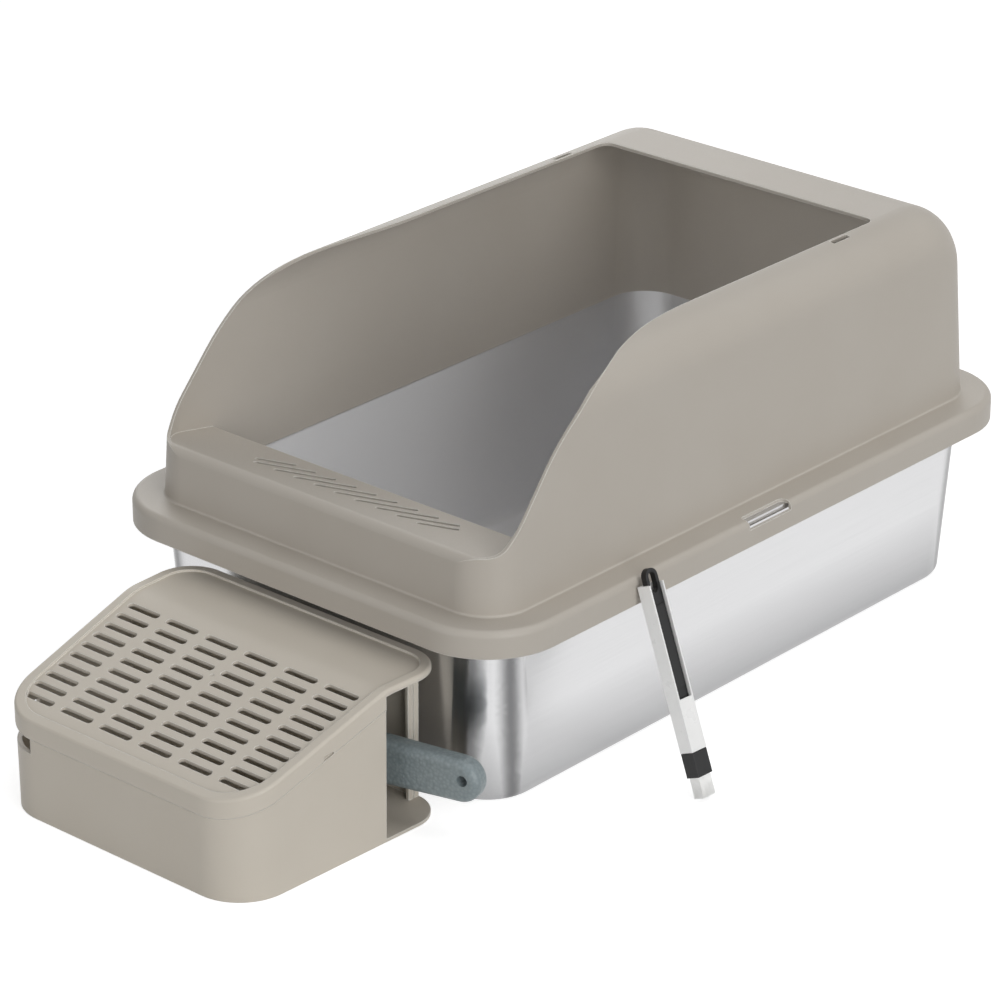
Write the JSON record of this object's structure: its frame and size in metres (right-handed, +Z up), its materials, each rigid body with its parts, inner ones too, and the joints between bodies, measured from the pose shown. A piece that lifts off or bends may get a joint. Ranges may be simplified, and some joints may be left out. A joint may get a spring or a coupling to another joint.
{
  "type": "litter box",
  "caption": "Open-topped pet litter box: drawn steel pan under a high-sided plastic guard with a low front entry, a slotted litter-catching step that stores a scoop, and a small sleeved brush.",
  "frame": {"origin": "on the floor, at the centre of the underside of the steel pan", "axes": "+Z up, +Y along the box's length towards its closed rear, -Y the front with the low entry and the step, +X the side where the scoop's grip and the brush are"},
  "size_m": [0.4489, 0.7812, 0.2985],
  "materials": {
    "steel": "fine brushed stainless steel sheet, half polished",
    "guard_plastic": "matte warm taupe polypropylene",
    "step_plastic": "matte warm taupe polypropylene",
    "scoop_plastic": "matte blue-grey nylon",
    "grip_rubber": "soft blue-grey overmould with a fine dimple texture",
    "sleeve_plastic": "white semi-gloss moulding",
    "handle_plastic": "black satin moulding",
    "bristle_nylon": "white nylon bristle"
  },
  "bodies": {
    "pan": {"steel_pan": "steel"},
    "guard": {"guard": "guard_plastic"},
    "step": {"step_tray": "step_plastic"},
    "tread": {"step_tread": "step_plastic"},
    "scoop": {"scoop_blade": "scoop_plastic", "scoop_grip": "grip_rubber"},
    "brush": {"brush_handle": "handle_plastic", "brush_bristles": "bristle_nylon"},
    "sleeve": {"dustpan_sleeve": "sleeve_plastic"}
  },
  "joints": [
    {"name": "guard_lift", "type": "slide", "parent": "pan", "child": "guard", "axis": [0, 0, 1], "range_m": [0, 0.2]},
    {"name": "step_pull", "type": "slide", "parent": "pan", "child": "step", "axis": [0, -1, 0], "range_m": [0, 0.2]},
    {"name": "tread_lift", "type": "slide", "parent": "step", "child": "tread", "axis": [0, -0.9063, 0.4226], "range_m": [0, 0.2]},
    {"name": "scoop_slide", "type": "slide", "parent": "step", "child": "scoop", "axis": [1, 0, 0], "range_m": [0, 0.2]},
    {"name": "brush_take", "type": "slide", "parent": "pan", "child": "brush", "axis": [1, 0, 0], "range_m": [0, 0.15]},
    {"name": "sleeve_slide", "type": "slide", "parent": "brush", "child": "sleeve", "axis": [-0.3778, 0.0468, 0.9247], "range_m": [0, 0.06]}
  ]
}
